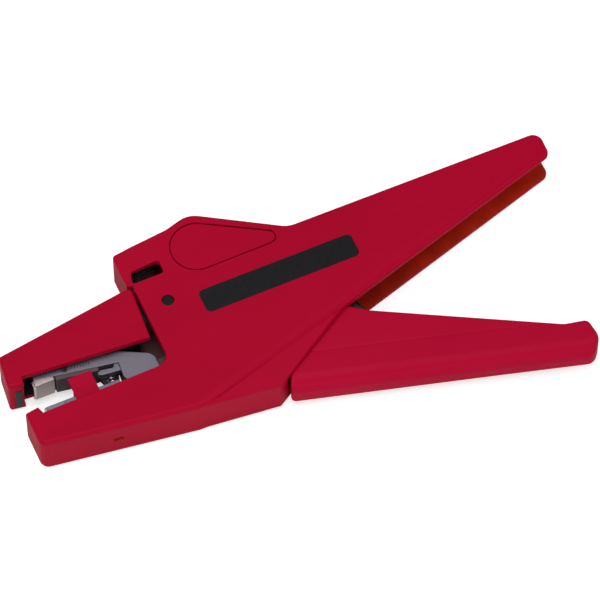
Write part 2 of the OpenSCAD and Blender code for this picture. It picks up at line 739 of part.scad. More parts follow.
// Lower arm: a block, a floor under the blade block and a fork about the arm pin
lower_bar_back_x = -24.2;
lower_floor = -25.5;
seat_h = 2.5;
seat_y = lower_floor + seat_h;
fork_in = 1;
fork_step = 0.6;
fork_clear = 4;
fork_shares = [
  [-0.2, -0.275, 0], [0.16, -0.16, 0.15], [0.16, 0.16, 0.15], [-0.05, 0.16, 0]
];
module lower_arm() color(steel)
  difference() {
    union() {
      slab([block_back_x, lower_floor], [lower_bar_back_x, lower_y], arm_lo, arm_hi);
      slab([arm_front_x, lower_floor], [block_back_x, seat_y], arm_lo, arm_hi);
      plate(flat_outline(concat(
        [[lower_bar_back_x - fork_in, lower_floor, 0]],
        placed(fork_shares, arm_pivot, arm_pivot_y, arm_pivot_y),
        [[lower_bar_back_x - fork_in, lower_y - fork_step, 0]])), fork_lo, fork_hi);
    }
    slab([lower_bar_back_x + heel_run, lower_floor - cut],
      [arm_pivot.x + 2 * fork_clear, arm_pivot.y + throat_rise], rod_lo - side_gap, rod_hi + side_gap);
    post(arm_pivot, arm_pin_r + run_gap, arm_lo - cut, arm_hi + cut);
  }
module lower_blade_block() color(bright)
  slab([arm_front_x, seat_y], [block_back_x, lower_y], arm_lo, arm_hi);
module lower_blade() color(bright)
  plate([[arm_front_x, lower_y + edge_out], [arm_front_x - blade_t, lower_y],
    [arm_front_x - blade_t, lower_floor], [arm_front_x, lower_floor]],
    arm_lo + blade_side, arm_hi - blade_side);

// Small coil between the arms
coil_wire = 0.25;
coil_r = 1.3;
coil_turns = 5;
coil_share = 0.59;
coil_x = insert_back_x + coil_share * latch_l;
coil_low = lower_y + coil_wire;
coil_high = bar_y(coil_x) - coil_wire;
coil_points = [for (i = [0:coil_turns * curl_rings])
  let (a = 360 * i / curl_rings)
  [coil_x + coil_r * cos(a), coil_low + (coil_high - coil_low) * i / (coil_turns * curl_rings),
    mid_z + coil_r * sin(a)]];
echo(arm_spring_gap = least_gap(coil_points, coil_wire, half_curl));
module arm_spring() color(bright) tube(coil_points, coil_wire, wire_sides);

// Length stop: a tab in front of the lower arm and a foot that rides on its top
stop_run = 9.6;
stop_l = 7.8;
stop_low = -22.5;
stop_top = -11.65;
stop_foot_l = 2;
stop_foot_h = 1.5;
stop_x = arm_front_x + stop_run;
stop_lo = arm_hi + play;
stop_hi = in_hi - pointer_t - cover_gap;
module length_stop() color(red) {
  slab([stop_x, stop_low], [stop_x + stop_l, stop_top], stop_lo, stop_hi);
  slab([stop_x, lower_y + play], [stop_x + stop_foot_l, lower_y + stop_foot_h],
    mid_z - rod_step, stop_lo + side_gap);
}

// Moving handle: its underside runs from the heel to the far end at a slope
grip_heel = [23.2, -42.7];
grip_slope = 16.2;
function grip_y(x) = grip_heel.y - (x - grip_heel.x) * tan(grip_slope);
grip_floor = 2.3;
grip_end_y = grip_y(grip_reach);
grip_end_x = grip_reach - grip_floor;
// Far end, from its under corner up to where it runs into the top: places from that end
grip_end_shares = [
  [-0.3491, 0.1014, 0.3019, 0.283], [0, 0.5664, 0.4717, 0.1509], [-0.1132, 1.1796, 0.2075, 0.0943],
  [-0.8019, 1.3117, 0.7547, 0.0755]
];
// Near end about the handle pivot
grip_near_shares = [
  [0.4833, -0.925, 0, 0.0333], [0.1042, -0.6333, 0.0833, 0.0333], [-0.7708, -1.2333, 0.0833, 0.0333]
];
run_corner = 1.5;
grip_heel_edge = 1.2;
grip_corners = concat(
  [[grip_heel.x, grip_heel.y, run_corner, grip_heel_edge]],
  placed(grip_end_shares, [grip_reach, grip_end_y], grip_t, grip_t),
  placed(grip_near_shares, handle_pivot, drive_r, drive_r)
);
hollow_end = 5.4;
grip_hollow = [
  [0, grip_y(0) + grip_floor],
  [grip_reach - hollow_end, grip_y(grip_reach - hollow_end) + grip_floor],
  [grip_end_x, grip_end_y + block_l + grip_floor],
  [grip_end_x, grip_end_y + 2 * grip_t],
  [handle_pivot.x + tool_t, 0],
  [0, 0]
];
module handle_grip() color(red)
  difference() {
    soft_plate(outline(grip_corners), grip_lo, grip_hi);
    plate(grip_hollow, cheek_lo, cheek_hi);
    for (p = rivets_at) post(p, rivet_r, cheek_lo - rivet_in, cheek_hi + rivet_in);
  }
rivet_in = 1;
// Cheeks about the handle pivot, from the cam pin round the drive pin to the rivets
cam_half = 2.3;
cam_top = 2;
lever_shares = [
  [-0.3258, -0.375, 0], [-0.4425, -0.9537, 0.0833], [-0.3842, -1.1038, 0.0833],
  [1.125, -1.625, 0.0833], [1.25, -1.4417, 0.0833], [0.5625, -1.0375, 0.1667],
  [0.3333, -0.625, 0.1667], [0.2167, 0.0833, 0.1667]
];
lever_corners = concat(
  [[cam_at.x - cam_half, cam_at.y + cam_top, cam_top]],
  placed(lever_shares, handle_pivot, drive_r, drive_r),
  [[cam_at.x + cam_half, cam_at.y + cam_top, cam_top]]
);
module handle_lever() color(steel)
  difference() {
    union() {
      plate(flat_outline(lever_corners), cheek_lo, cheek_lo + cheek_t);
      plate(flat_outline(lever_corners), cheek_hi - cheek_t, cheek_hi);
    }
    post(handle_pivot, handle_pin_r + run_gap, cheek_lo - cut, cheek_hi + cut);
    for (p = rivets_at) post(p, rivet_r, cheek_lo - cut, cheek_hi + cut);
    post(drive_at, drive_pin_r, cheek_lo - cut, cheek_hi + cut);
    post(cam_at, drive_pin_r, cheek_lo - cut, cheek_hi + cut);
  }
module drive_pin() color(steel) post(drive_at, drive_pin_r, cheek_lo, cheek_hi);
module cam_pin() color(steel) post(cam_at, drive_pin_r, cheek_lo, cheek_hi);
module lever_rivets() color(steel)
  for (p = rivets_at) post(p, rivet_r, cheek_lo - rivet_in, cheek_hi + rivet_in);

// Cutter lever and its blade, in places about the cutter pivot
cutter_t = 2;
cutter_blade_t = 1;
cutter_shares = [
  [-0.9636, -0.4091, 0], [-0.1364, -0.4364, 0], [0.2727, -0.5182, 0], [0.7273, -0.6182, 0],
  [1.1591, -0.6, 0.0455], [1.1591, -0.4818, 0.0455], [0.8636, -0.4818, 0], [0.3636, -0.2727, 0],
  [0.2182, 0, 0], [0.1636, 0.1636, 0], [0, 0.2273, 0], [-0.1636, 0.1636, 0], [-0.2727, -0.1182, 0],
  [-0.5636, -0.2227, 0], [-0.9818, -0.2227, 0]
];
cutting_shares = [
  [-0.9682, -0.3909], [-0.5727, -0.3909], [-0.5727, -0.2227], [-0.9682, -0.2091]
];
cutter_lo = mid_z - cutter_t / 2;
cutter_hi = mid_z + cutter_t / 2;
module cutter_lever() color(steel)
  difference() {
    plate(flat_outline(placed(cutter_shares, cutter_pivot, cutter_l, cutter_l)), cutter_lo, cutter_hi);
    post(cutter_pivot, cutter_pin_r + run_gap, cutter_lo - cut, cutter_hi + cut);
  }
module cutter_blade() color(bright)
  plate(placed(cutting_shares, cutter_pivot, cutter_l, cutter_l), cutter_hi, cutter_hi + cutter_blade_t);

body_shell();
lower_grip_pad();
jaw_pin();
handle_pin();
cutter_pin();
cutter_anvil();
teardrop_cap();
label_plate();
handle_spring();
jaw_cover();
jaw_carrier();
upper_grip_pad();
jaw_roller();
roller_pin();
scale_pointer();
pull_rod();
arm_pin();
upper_arm();
upper_blade_block();
upper_blade();
arm_insert();
latch_bar();
lower_arm();
lower_blade_block();
lower_blade();
arm_spring();
length_stop();
handle_grip();
handle_lever();
drive_pin();
cam_pin();
lever_rivets();
cutter_lever();
cutter_blade();
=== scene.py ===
"""Looks of the wire stripper pliers: shapes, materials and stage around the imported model."""

import json
from math import cos, pi, radians, sin

import bmesh
import bpy
import numpy as np
from bpy.props import FloatProperty, IntProperty, PointerProperty, StringProperty
from bpy.types import Operator, Panel, PropertyGroup
from mathutils import Matrix, Vector

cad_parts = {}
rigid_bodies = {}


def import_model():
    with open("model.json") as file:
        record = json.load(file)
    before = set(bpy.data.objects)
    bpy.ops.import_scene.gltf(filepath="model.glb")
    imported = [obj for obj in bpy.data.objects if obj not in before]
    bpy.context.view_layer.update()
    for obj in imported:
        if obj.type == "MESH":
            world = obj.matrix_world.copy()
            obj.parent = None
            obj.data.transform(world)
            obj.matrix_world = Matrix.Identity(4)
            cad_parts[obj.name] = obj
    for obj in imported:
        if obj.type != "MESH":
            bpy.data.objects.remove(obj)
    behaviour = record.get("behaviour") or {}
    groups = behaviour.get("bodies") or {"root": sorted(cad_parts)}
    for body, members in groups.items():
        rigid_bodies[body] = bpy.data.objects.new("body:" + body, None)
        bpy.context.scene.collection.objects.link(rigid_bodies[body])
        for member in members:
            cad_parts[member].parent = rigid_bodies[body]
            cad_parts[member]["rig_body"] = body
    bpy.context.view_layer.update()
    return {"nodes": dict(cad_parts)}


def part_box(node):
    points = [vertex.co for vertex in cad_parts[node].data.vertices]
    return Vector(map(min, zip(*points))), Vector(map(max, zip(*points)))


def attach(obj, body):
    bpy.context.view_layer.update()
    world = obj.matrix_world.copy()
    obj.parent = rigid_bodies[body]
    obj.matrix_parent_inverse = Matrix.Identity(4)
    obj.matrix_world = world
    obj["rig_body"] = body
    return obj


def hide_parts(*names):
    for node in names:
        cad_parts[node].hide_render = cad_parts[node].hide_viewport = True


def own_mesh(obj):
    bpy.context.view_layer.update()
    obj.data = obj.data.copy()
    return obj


bl_info = {
    "name": "Wire stripper pliers",
    "version": (1, 0, 0),
    "blender": (4, 5, 0),
    "location": "3D View > Sidebar > Stripper",
    "description": "Shells, blade arms, springs and stage of self-adjusting wire stripper pliers",
    "category": "Object",
}

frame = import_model()
NODES = frame["nodes"]
MM = 0.001

# Levels along the thickness and the wall on both sides of the shells, in millimetres
TOOL_T = 16.0
MID_Z = TOOL_T / 2
SIDE_WALL = 1.9
ARM_LOW, ARM_TOP = 3.8, 12.2
ARM_SLOT = (5.3, 10.7)
ARM_PIN_REACH = (4.0, 12.0)

# Straight lines on the shells, from start to finish, in millimetres
GRIP_SIDE = ((23.0, -42.64), (117.0, -69.95))
GRIP_LINE = ((34.0, -33.5), (106.0, -54.4))
BODY_SIDE = ((49.1, -24.32), (130.54, -0.14))
BELLY_CREASE = ((0.35, -37.87), (49.3, -24.2))
# The way in which the moving handle's shell is open
GRIP_OPEN_WAY = (0.28, 0.96, 0)
# Front corner of the cover's nose (x, y, reach), in millimetres: the points within its reach are
# made one, because the rounding of the solid folds over itself there
COVER_CORNER = (-56.26, -7.58, 0.2)

# Small parts, in millimetres: the cap's two circles as centre and radius, the label's corner
# radius, outlines as corners (x, y, radius), and lowest and highest levels
CAP = ((15.9, 14.3), 8.28, (37.9, 8.4), 2.18)
LABEL_CORNER = 1.7
POINTER_TIP = [(-39.7, -7.6, 0), (-38.9, -8.7, 0.2), (-38.1, -8.7, 0.2), (-37.3, -7.6, 0)]
ARM_BAR = [(-21.2, -8.2, 0), (-48.1, -3.6, 0.8), (-48.7, -7.5, 0), (-22.1, -12.2, 0)]
ARM_EYE = [(-22.5, -17.5, 0), (-20.0, -22.9, 2.6), (-10.8, -22.9, 4.5), (-10.8, -13.6, 3.6)]
INSERT_BAR = [(-42.2, -8.65, 0), (-42.2, -10.1, 0.3), (-28.6, -12.35, 0.3), (-28.6, -11.0, 0)]
# The insert's pocket is a dark piece behind the coil: painted shade
INSERT_POCKET = [(-28.8, -11.6, 0), (-27.6, -14.6, 0.4), (-22.9, -14.6, 0.4), (-22.4, -12.3, 0)]
INSERT_LEVELS, POCKET_LEVELS = (4.0, 12.0), (4.1, 6.2)

# Marks of the length scale, in millimetres
MARK_LINE = ((-45.8, -6.2), (-30.7, -8.96))
MARK_HALF_WIDTH = 0.12
MARK_REACH = 0.62
LONG_MARK_REACH = 0.78
MARKS_PER_LONG_ONE = 5
MARK_LEVELS = (ARM_TOP - 0.05, ARM_TOP + 0.03)

# The carrier's thin tail: its corners below all three of these limits (x, y, z) go on to the low
# edge behind the arms, so that no floor shows past them and the tail's dark brown stands there as
# painted shade
TAIL_LIMITS = (-5, -8.9, 3.6)
TAIL_LOW_Y = -12.6
# The carrier's faces that look up above this level get black steel: painted shade, for the shade
# in the narrow slot above them
CARRIER_SHADE_LEVEL = 11.5

# Small coil: a helix along Y that fills its node's box, with so many points on each turn
COIL_TURNS = 5
COIL_STEPS = 24

# Return spring, in millimetres: wound round the handle pin, with one leg in the body and one in
# the handle
SPRING_PIVOT = (45.0, -5.0)
SPRING_TURNS, SPRING_PITCH, SPRING_RADIUS = 1.75, 1.15, 4.3
SPRING_FIRST_Z = MID_Z - 1.1
SPRING_BODY_LEG, SPRING_HANDLE_LEG = (66, 6.45, SPRING_FIRST_Z), (59, -31.05, MID_Z + 1)
SPRING_POINTS = 48

# Softened edges of the grip inserts and of the length stop
PAD_EDGE, STOP_EDGE = 0.12 * MM, 0.2 * MM

# Clean-up of the CAD meshes: points this near are one, faces this flat are joined, corners this
# near in height share a level, and edges sharper than this are softened
SAME_POINT = 0.002 * MM
FLAT_ANGLE = radians(0.5)
SAME_LEVEL = 0.01 * MM
SHARP_ANGLE = radians(32)

# Stage, in metres and watts; each lamp has a name, a place, a width and a power, and the camera
# sees so wide a view at its target
FLOOR_HALF_WIDTH = 3.0
FLOOR_DROP = 0.05 * MM
FLOOR_GREY = 0.86
FLOOR_GLOW = 0.62
FILL_LIGHT = 0.3
LAMP_AIM = (0.035, -0.015, 0.008)
LAMPS = (
    ("lamp_top", (-0.18, 0.00, 1.0), 0.9, 5.0),
    ("lamp_front", (-0.45, -0.90, 0.36), 0.8, 2.8),
    ("lamp_side", (0.85, -0.35, 0.55), 0.7, 1.2),
)
CAMERA_AZIMUTH, CAMERA_ELEVATION = radians(-24), radians(60)
CAMERA_DISTANCE = 1.5
CAMERA_TARGET = (0.0377, -0.0168, 0.016)
SENSOR_MM = 36
VIEW_WIDTH = 0.1875

# Refractive indices
POLYAMIDE_IOR = 1.53
POLYESTER_IOR = 1.55


class StripperSizes(PropertyGroup):
    """Sizes that a user would change, in metres."""

    shell_edge: FloatProperty(
        name="Shell edge",
        description="Softening of the sharp edges of the red mouldings",
        default=0.22 * MM, min=0, unit="LENGTH",
    )
    metal_edge: FloatProperty(
        name="Metal edge",
        description="Broken edge of the steel and zinc parts",
        default=0.10 * MM, min=0, unit="LENGTH",
    )
    coil_wire: FloatProperty(
        name="Small coil wire",
        description="Wire radius of the coil between the blade arms",
        default=0.25 * MM, min=0, unit="LENGTH",
    )
    return_wire: FloatProperty(
        name="Return spring wire",
        description="Wire radius of the return spring",
        default=0.35 * MM, min=0, unit="LENGTH",
    )
    tick_pitch: FloatProperty(
        name="Scale pitch",
        description="Distance between two marks of the length scale",
        default=0.9 * MM, min=0.0005, unit="LENGTH",
    )
    ticks: IntProperty(
        name="Scale marks", description="Number of marks on the length scale", default=18, min=2
    )


class StripperColours(PropertyGroup):
    """Colours as sRGB hex values."""

    shell: StringProperty(name="Shell", description="Red polyamide", default="#b6022d")
    shell_deep: StringProperty(
        name="Shell, deep", description="Red polyamide in its darker flow streaks",
        default="#ad022a",
    )
    # Brighter copy of the shell's red for the moving handle and the stop: painted light
    handle: StringProperty(
        name="Handle", description="Red polyamide of the moving handle and the stop",
        default="#bb0533",
    )
    handle_deep: StringProperty(
        name="Handle, deep", description="The same in its darker flow streaks", default="#b30531"
    )
    # Orange-brown red for the faces inside the shells: painted bounce light
    inside: StringProperty(
        name="Shell, inside", description="Red polyamide inside the shells", default="#c4301a"
    )
    label: StringProperty(name="Label", description="Bare label film", default="#111014")
    grip: StringProperty(name="Grip", description="Dark grip inserts", default="#2a2325")
    insert: StringProperty(name="Insert", description="Dark insert of the arm", default="#5a464e")
    zinc: StringProperty(name="Arms", description="Die-cast arms", default="#85828f")
    # Dark brown for the carrier and the pull rod: painted shade
    zinc_painted_shade: StringProperty(name="Carrier", description="Blackened castings", default="#6b4640")
    ground: StringProperty(name="Upper block", description="Ground steel", default="#cfc3c1")
    # Darker copy of the ground steel for the lower block: painted shade
    ground_painted_shade: StringProperty(
        name="Lower block", description="Ground steel, greyer", default="#8d8a96"
    )
    blade: StringProperty(name="Blades", description="Hardened tool steel", default="#d6d5d6")
    wire: StringProperty(name="Coil", description="Drawn spring steel", default="#cfcccb")
    pressed: StringProperty(name="Pins", description="Zinc-plated steel", default="#9a9a9e")
    # Dark brown for the handle's cheeks: painted shade
    cheeks_painted_shade: StringProperty(name="Cheeks", description="Phosphated steel", default="#3f2f2c")
    # Black for the black steel parts, and painted shade on the return spring, the anvil and the
    # carrier's upper faces
    blackened: StringProperty(name="Black steel", description="Blackened steel", default="#1d1c1f")
    marks: StringProperty(name="Marks", description="Paint in the scale marks", default="#34333c")


def linear(code):
    """sRGB hex value as linear RGBA: the sRGB curve undone channel by channel."""
    c = np.array([int(code[i:i + 2], 16) for i in (1, 3, 5)]) / 255
    c = np.where(c <= 0.04045, c / 12.92, ((c + 0.055) / 1.055) ** 2.4)
    return (*c.tolist(), 1.0)


def shaded(code, share):
    """sRGB hex value as linear RGBA, its light multiplied by a share."""
    return (*(min(channel * share, 1) for channel in linear(code)[:3]), 1.0)


# Materials


def add_node(tree, kind, settings=None, links=None):
    """Adds a node, sets its sockets and properties, links its inputs from (node, output) pairs."""
    node = tree.nodes.new(kind)
    for key, value in (settings or {}).items():
        if isinstance(key, int) or key in node.inputs:
            node.inputs[key].default_value = value
        else:
            setattr(node, key, value)
    for key, (source, output) in (links or {}).items():
        tree.links.new(source.outputs[output], node.inputs[key])
    return node


def new_material(name):
    """An empty node material with its output and a Principled surface."""
    material = bpy.data.materials.new(name)
    material.use_nodes = True
    tree = material.node_tree
    tree.nodes.clear()
    surface = add_node(tree, "ShaderNodeBsdfPrincipled")
    add_node(tree, "ShaderNodeOutputMaterial", links={"Surface": (surface, "BSDF")})
    place = add_node(tree, "ShaderNodeTexCoord")
    return material, tree, surface, place


def noise(tree, place, size_mm, detail, roughness, stretch=None):
    """Noise with cells about size_mm wide on Object coordinates, which a stretch multiplies."""
    where = (place, "Object")
    if stretch:
        mapping = add_node(tree, "ShaderNodeMapping", {"Scale": stretch}, {"Vector": where})
        where = (mapping, "Vector")
    return add_node(
        tree, "ShaderNodeTexNoise",
        {"Scale": 1 / (size_mm * MM), "Detail": detail, "Roughness": roughness},
        {"Vector": where},
    )


def ramp(tree, source, low, high, start=0.35, end=0.65):
    """Colour ramp over a noise, between two colours or grey values."""
    node = add_node(tree, "ShaderNodeValToRGB", links={"Fac": (source, "Fac")})
    stops = node.color_ramp.elements
    for stop, at, value in zip(stops, (start, end), (low, high)):
        stop.position = at
        stop.color = value if isinstance(value, tuple) else (value, value, value, 1)
    return node


def bump(tree, source, depth_mm, strength):
    """Bump over a noise, of a real depth in millimetres."""
    return add_node(
        tree, "ShaderNodeBump", {"Distance": depth_mm * MM, "Strength": strength},
        {"Height": (source, "Fac")},
    )


def finish_surface(tree, surface, values, colour, relief, sheen=None):
    """Sets a surface's constant values and links its colour, its relief and its roughness."""
    for key, value in values.items():
        surface.inputs[key].default_value = value
    tree.links.new(colour.outputs["Color"], surface.inputs["Base Color"])
    tree.links.new(relief.outputs["Normal"], surface.inputs["Normal"])
    if sheen:
        tree.links.new(sheen.outputs["Color"], surface.inputs["Roughness"])


def moulded_red(name, deep, bright):
    """Red polyamide, injection moulded in a finely eroded mould: satin, with a fine grain of about
    0.45 mm (drawn coarser than the real 0.1 mm so that it shows) and faint flow streaks."""
    material, tree, surface, place = new_material(name)
    streaks = noise(tree, place, 22, detail=3, roughness=0.55, stretch=(0.45, 1.4, 1))
    colour = ramp(tree, streaks, linear(deep), linear(bright), 0.25, 0.6)
    grain = noise(tree, place, 0.45, detail=3, roughness=0.6)
    sheen = ramp(tree, grain, 0.40, 0.50, 0.3, 0.7)
    relief = bump(tree, grain, 0.02, 0.35)
    values = {"IOR": POLYAMIDE_IOR, "Specular IOR Level": 0.06}
    finish_surface(tree, surface, values, colour, relief, sheen)
    return material


def moulded_red_painted_bounce_light(code):
    """Painted bounce light on the same polyamide inside the shells: an orange-brown that stands in
    for the light which comes through the walls and between them; matt, cloudy over about 6 mm."""
    material, tree, surface, place = new_material("red_polyamide_painted_bounce_light")
    cloud = noise(tree, place, 6, detail=2, roughness=0.5)
    colour = ramp(tree, cloud, shaded(code, 0.85), shaded(code, 1.1))
    grain = noise(tree, place, 0.5, detail=2, roughness=0.6)
    relief = bump(tree, grain, 0.02, 0.4)
    values = {"Roughness": 0.6, "IOR": POLYAMIDE_IOR, "Specular IOR Level": 0.05}
    finish_surface(tree, surface, values, colour, relief)
    return material


def moulded_dark(name, code, rough=0.55):
    """Dark polyamide, moulded: matt with a fine grain."""
    material, tree, surface, place = new_material(name)
    grain = noise(tree, place, 0.4, detail=3, roughness=0.6)
    colour = ramp(tree, grain, shaded(code, 0.8), shaded(code, 1.2))
    sheen = ramp(tree, grain, rough - 0.06, rough + 0.06)
    relief = bump(tree, grain, 0.02, 0.4)
    finish_surface(tree, surface, {"IOR": POLYAMIDE_IOR}, colour, relief, sheen)
    return material


def label_film(code):
    """Polyester label film, satin: almost even, with a very low orange peel of about 1.5 mm."""
    material, tree, surface, place = new_material("label_film_satin")
    peel = noise(tree, place, 1.5, detail=1, roughness=0.4)
    colour = ramp(tree, peel, shaded(code, 0.9), shaded(code, 1.12))
    sheen = ramp(tree, peel, 0.38, 0.42)
    relief = bump(tree, peel, 0.004, 0.2)
    values = {"IOR": POLYESTER_IOR, "Specular IOR Level": 0.2}
    finish_surface(tree, surface, values, colour, relief, sheen)
    return material


def metal(name, code, rough, grain_mm, depth_mm, metallic=1.0, stretch=None):
    """Bare metal: blasted where the grain is round, ground where it is stretched along one way."""
    material, tree, surface, place = new_material(name)
    grain = noise(tree, place, grain_mm, detail=3, roughness=0.6, stretch=stretch)
    colour = ramp(tree, grain, shaded(code, 0.86), shaded(code, 1.1), 0.3, 0.7)
    sheen = ramp(tree, grain, rough - 0.07, rough + 0.07, 0.3, 0.7)
    relief = bump(tree, grain, depth_mm, 0.5)
    finish_surface(tree, surface, {"Metallic": metallic}, colour, relief, sheen)
    return material


MATERIALS = {}


def material_for(key):
    """The named finish, made once."""
    colours = bpy.context.scene.stripper_colours
    # Lines of a grinding wheel: along Y on the blocks, along X on the blades
    ground_y, ground_x = (3.5, 0.3, 3.5), (0.3, 3, 3)
    makers = {
        "red": lambda: moulded_red("red_polyamide_moulded", colours.shell_deep, colours.shell),
        # Painted light: the handle and the stop get a brighter copy of the same red polyamide, for
        # the stronger light that falls on them
        "red_painted_light": lambda: moulded_red(
            "red_polyamide_painted_light", colours.handle_deep, colours.handle
        ),
        # Painted bounce light: an orange-brown copy of the red for the faces inside the shells
        "inside": lambda: moulded_red_painted_bounce_light(colours.inside),
        "grip": lambda: moulded_dark("black_polyamide_moulded", colours.grip),
        "insert": lambda: moulded_dark("dark_polyamide_moulded", colours.insert, 0.5),
        "marks": lambda: moulded_dark("mark_paint", colours.marks, 0.6),
        "label": lambda: label_film(colours.label),
        # Die-cast zinc, shot-blasted: round grain of about 0.3 mm, matt
        "zinc": lambda: metal("zinc_die_cast_blasted", colours.zinc, 0.46, 0.3, 0.012, 0.85),
        # Die-cast zinc with painted shade: the parts deep inside get a dark brown for the shade
        # that falls on them
        "zinc_painted_shade": lambda: metal(
            "zinc_die_cast_painted_shade", colours.zinc_painted_shade, 0.5, 0.3, 0.012, 0.5
        ),
        # Ground steel: lines about 0.15 mm apart, on the lower block shallower, and darker and
        # greyer as painted shade
        "ground": lambda: metal(
            "steel_ground", colours.ground, 0.34, 0.5, 0.006, stretch=ground_y
        ),
        "ground_painted_shade": lambda: metal(
            "steel_ground_painted_shade", colours.ground_painted_shade, 0.42, 0.5, 0.004, 0.9, ground_y
        ),
        # Tool steel, hardened and ground bright
        "blade": lambda: metal(
            "tool_steel_hardened_ground", colours.blade, 0.22, 0.4, 0.003, stretch=ground_x
        ),
        # Spring steel, drawn: smooth and bright
        "wire": lambda: metal("spring_steel_drawn", colours.wire, 0.2, 0.3, 0.002),
        # Pressed steel, zinc plated: faint cloudy plating of about 2 mm
        "pressed": lambda: metal("steel_pressed_zinc_plated", colours.pressed, 0.36, 2.0, 0.004),
        # Pressed steel in dark brown, painted shade for the shade between the handles: matt, with
        # faint clouds of about 2 mm
        "cheeks_painted_shade": lambda: metal(
            "steel_pressed_painted_shade", colours.cheeks_painted_shade, 0.55, 2.0, 0.004, 0.6
        ),
        # Steel, black from hot salts: nearly even. On the return spring, the cutter anvil and the
        # carrier's upper faces this black is painted shade
        "black_steel": lambda: metal("steel_black_and_painted_shade", colours.blackened, 0.38, 0.4, 0.004, 0.7),
    }
    if key not in MATERIALS:
        MATERIALS[key] = makers[key]()
    return MATERIALS[key]


# Mesh helpers


def points_of(mesh):
    """Corners of a mesh, one row each, in metres."""
    places = np.empty(3 * len(mesh.vertices))
    mesh.vertices.foreach_get("co", places)
    return places.reshape(-1, 3)


def set_points(mesh, places):
    """Moves the corners of a mesh to places in metres."""
    mesh.vertices.foreach_set("co", places.ravel())


def box_mm(node):
    """Lowest and highest corner of a CAD node's box, in millimetres."""
    return tuple(np.array(corner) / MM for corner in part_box(node))


def link_piece(name, mesh, body):
    """Object of a mesh in the scene, riding on a CAD body."""
    piece = bpy.data.objects.new(name, mesh)
    bpy.context.scene.collection.objects.link(piece)
    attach(piece, body)
    return piece


def piece_from(name, points, faces, material, body, smooth=True):
    """Object from arrays of points in millimetres and faces, riding on a CAD body."""
    mesh = bpy.data.meshes.new(name)
    rows = (np.asarray(points, float) * MM).tolist()
    mesh.from_pydata(rows, [], [list(map(int, face)) for face in faces])
    mesh.validate()
    mesh.polygons.foreach_set("use_smooth", np.full(len(mesh.polygons), smooth))
    mesh.materials.append(material_for(material))
    return link_piece(name, mesh, body)


def soften(piece, width):
    """Live bevel on the sharp edges, with normals weighted by face area."""
    if width > 0:
        bevel = piece.modifiers.new("edge", "BEVEL")
        bevel.width = width
        bevel.segments = 2
        bevel.limit_method = "ANGLE"
        bevel.angle_limit = SHARP_ANGLE
        bevel.use_clamp_overlap = True
    shade = piece.modifiers.new("shade", "WEIGHTED_NORMAL")
    shade.weight = 60
    shade.keep_sharp = True


def dressed(node, material, edge, weld=None):
    """Copy of a CAD node's mesh: its loose triangles merged, flat faces joined, edges softened. A
    weld (x, y, reach) joins the points of the lowest and of the highest face within its reach."""
    source = NODES[node]
    mesh = source.data.copy()
    work = bmesh.new()
    work.from_mesh(mesh)
    bmesh.ops.remove_doubles(work, verts=work.verts, dist=SAME_POINT)
    if weld:
        centre = Vector(weld[:2]) * MM
        reach = weld[2] * MM
        heights = [vertex.co.z for vertex in work.verts]
        for level in (min(heights), max(heights)):
            near = [
                vertex for vertex in work.verts
                if abs(vertex.co.z - level) < SAME_LEVEL and (vertex.co.xy - centre).length < reach
            ]
            bmesh.ops.pointmerge(work, verts=near, merge_co=(centre.x, centre.y, level))
    bmesh.ops.dissolve_limit(
        work, angle_limit=FLAT_ANGLE, verts=work.verts[:], edges=work.edges[:]
    )
    for face in work.faces:
        face.smooth = True
        face.material_index = 0
    work.to_mesh(mesh)
    work.free()
    mesh.materials.clear()
    mesh.materials.append(material_for(material))
    piece = link_piece(node + "_piece", mesh, source["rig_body"])
    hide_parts(node)
    soften(piece, edge)
    return piece


def cut_along(mesh, start, finish, depths):
    """Cuts a mesh by upright planes parallel to a side from start to finish, at depths to its left
    in millimetres, and gives each corner's place in millimetres, its place along the side from 0
    to 1, and its depth."""
    start, finish = np.array(start, float), np.array(finish, float)
    length = np.linalg.norm(finish - start)
    way = (finish - start) / length
    inwards = np.array((-way[1], way[0]))
    work = bmesh.new()
    work.from_mesh(mesh)
    for depth in depths:
        bmesh.ops.bisect_plane(
            work, geom=work.verts[:] + work.edges[:] + work.faces[:], dist=0.001 * MM,
            plane_co=(*((start + inwards * depth) * MM), 0), plane_no=(*inwards, 0),
        )
    work.to_mesh(mesh)
    work.free()
    places = points_of(mesh) / MM
    return places, (places[:, :2] - start) @ way / length, (places[:, :2] - start) @ inwards


def roll_side(piece, side, widths, falls, cuts=7):
    """Rolls the upper outer edge along a straight side. With d the depth from the side, a corner
    stays at least f (1 - sqrt(1 - (1 - d / w)^2)) below the top, a quarter ellipse whose width w
    and fall f run evenly from their first value at the start to their second at the finish. What
    lies just past the finish or just outside the side falls with it."""
    angle = np.linspace(0, pi / 2, cuts + 1)[1:]
    places, along, depth = cut_along(piece.data, *side, max(widths) * (1 - np.cos(angle)))
    width = np.interp(along, (0, 1), widths)
    share = 1 - np.clip(depth / width, 0, 1)
    fall = np.interp(along, (0, 1), falls) * (1 - np.sqrt(1 - share ** 2))
    near = (along >= 0) & (along < 1.05) & (depth > -1)
    places[:, 2] = np.minimum(places[:, 2], places[:, 2].max() - np.where(near, fall, 0))
    set_points(piece.data, places * MM)


def groove(piece, line, width, fall):
    """Presses a shallow V along a straight line into the outermost faces above and below, which
    lie within skin of the highest and lowest corner: the corners on the line, or on its run a
    tenth past its ends, go in by the fall, those at half the width stay."""
    skin = 0.25
    places, along, depth = cut_along(piece.data, *line, (-width / 2, 0, width / 2))
    top, bottom = places[:, 2].max(), places[:, 2].min()
    on_line = (np.abs(depth) < 0.02) & (along > -0.1) & (along < 1.1)
    places[:, 2] -= fall * (on_line & (places[:, 2] > top - skin))
    places[:, 2] += fall * (on_line & (places[:, 2] < bottom + skin))
    set_points(piece.data, places * MM)


